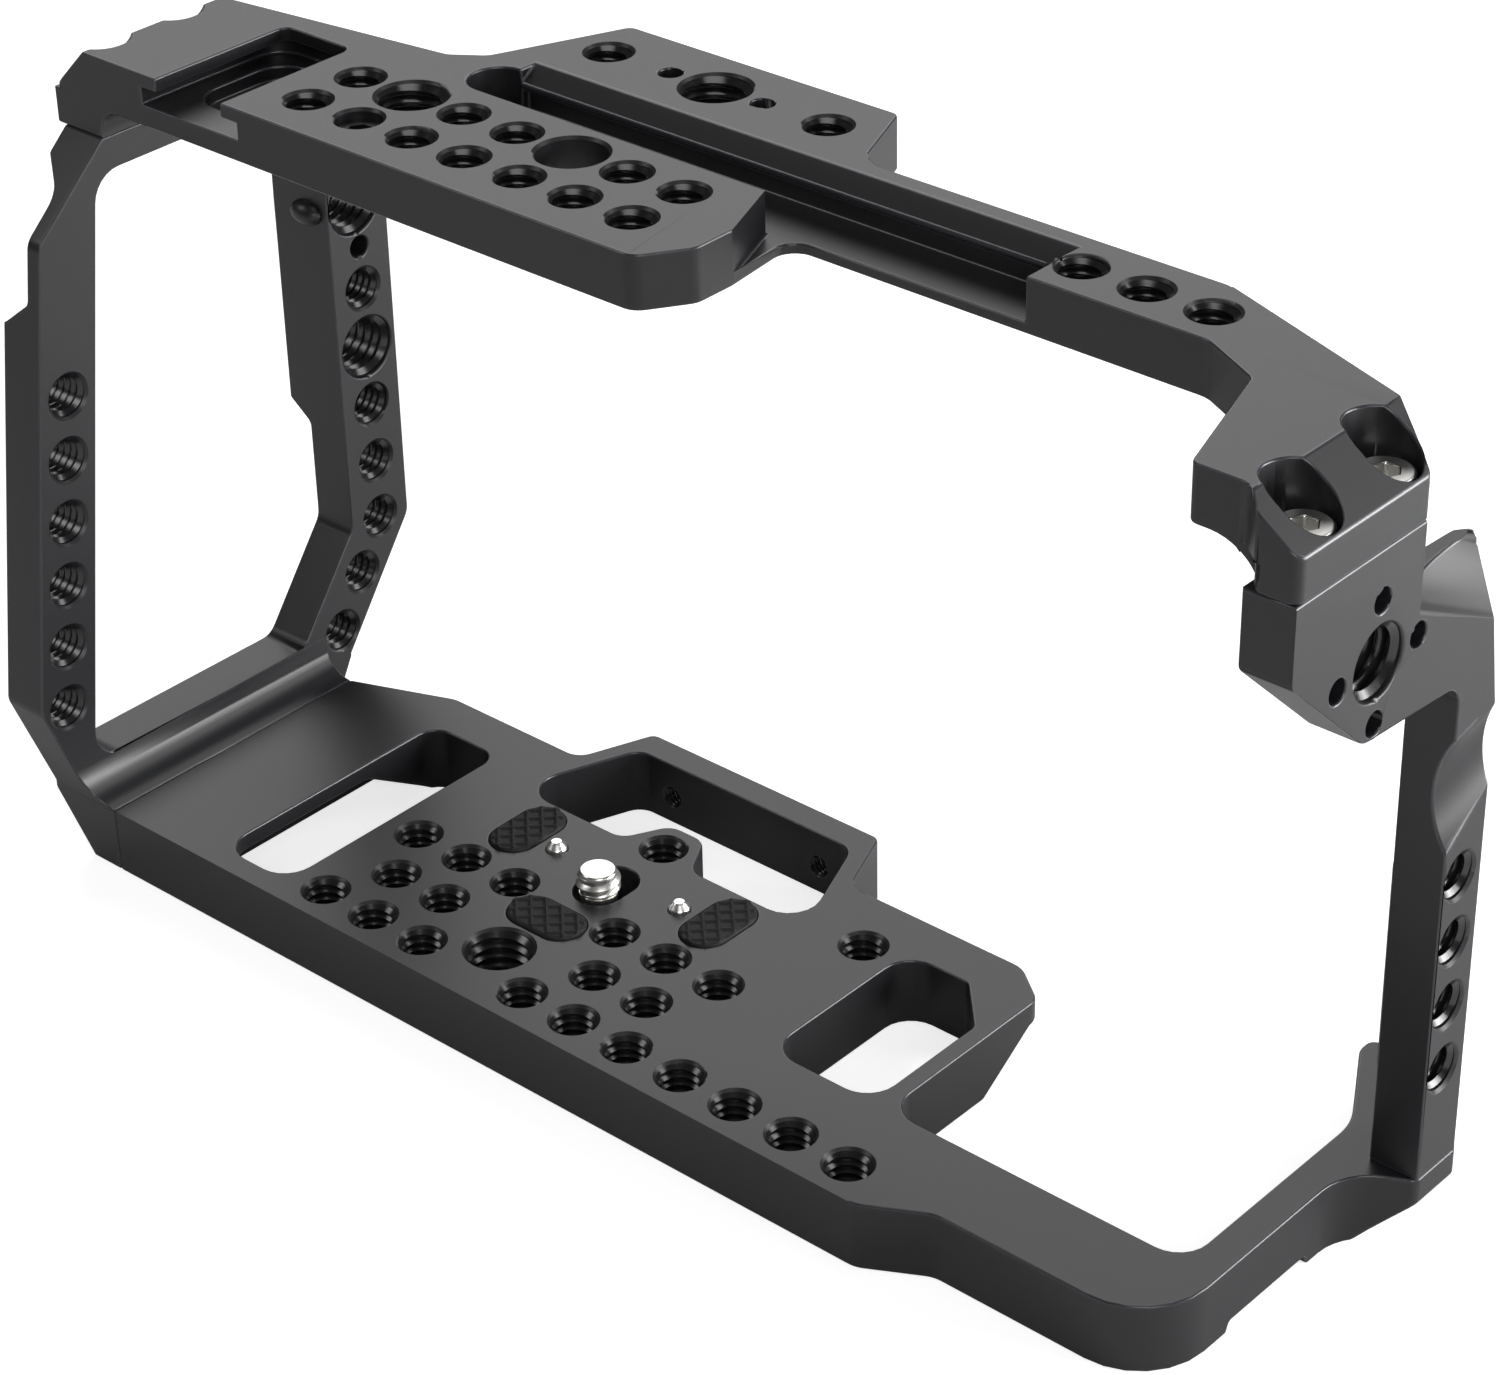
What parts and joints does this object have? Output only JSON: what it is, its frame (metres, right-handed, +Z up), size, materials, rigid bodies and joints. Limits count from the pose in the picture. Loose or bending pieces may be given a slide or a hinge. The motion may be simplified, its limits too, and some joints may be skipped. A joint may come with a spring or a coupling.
{
  "type": "camera cage",
  "caption": "Rigid metal camera cage: base plate with camera screw and hole field, open side frame, threaded top plate with shoe and rail, and a side post.",
  "frame": {"origin": "axis of the camera screw, in its rest place, at the camera seat (the top face of the bottom plate)", "axes": "+X toward the operator's right (the side with the post), +Y toward the lens, +Z up"},
  "size_m": [0.2069, 0.0764, 0.1199],
  "materials": {
    "black": "fine bead-blasted and black anodised, satin",
    "rubber": "black, crosshatched top",
    "bright_steel": "bright nickel-plated",
    "washer": "natural nylon",
    "black_steel": "black oxide"
  },
  "bodies": {
    "cage": {"top_plate": "black", "left_side_frame": "black", "bottom_plate": "black", "right_side_post": "black", "locating_pin_left": "bright_steel", "locating_pin_right": "bright_steel", "rubber_pad_left": "rubber", "rubber_pad_right": "rubber", "rubber_pad_near": "rubber", "top_left_screw_near": "bright_steel", "top_left_screw_far": "bright_steel", "head_screw_near": "bright_steel", "head_screw_far": "bright_steel", "left_foot_screw_near": "black_steel", "left_foot_screw_far": "black_steel", "post_foot_screw": "black_steel", "post_foot_dowel": "bright_steel", "hole_field_grub_screw": "black_steel"},
    "washer": {"camera_screw_washer": "washer"},
    "screw": {"camera_screw": "bright_steel"}
  },
  "joints": [
    {"name": "screw_slide", "type": "slide", "parent": "cage", "child": "washer", "axis": [0, 1, 0], "range_m": [0, 0.003]},
    {"name": "screw_turn", "type": "hinge", "parent": "washer", "child": "screw", "pos_m": [0, 0, 0], "axis": [0, 0, 1], "continuous": true}
  ]
}
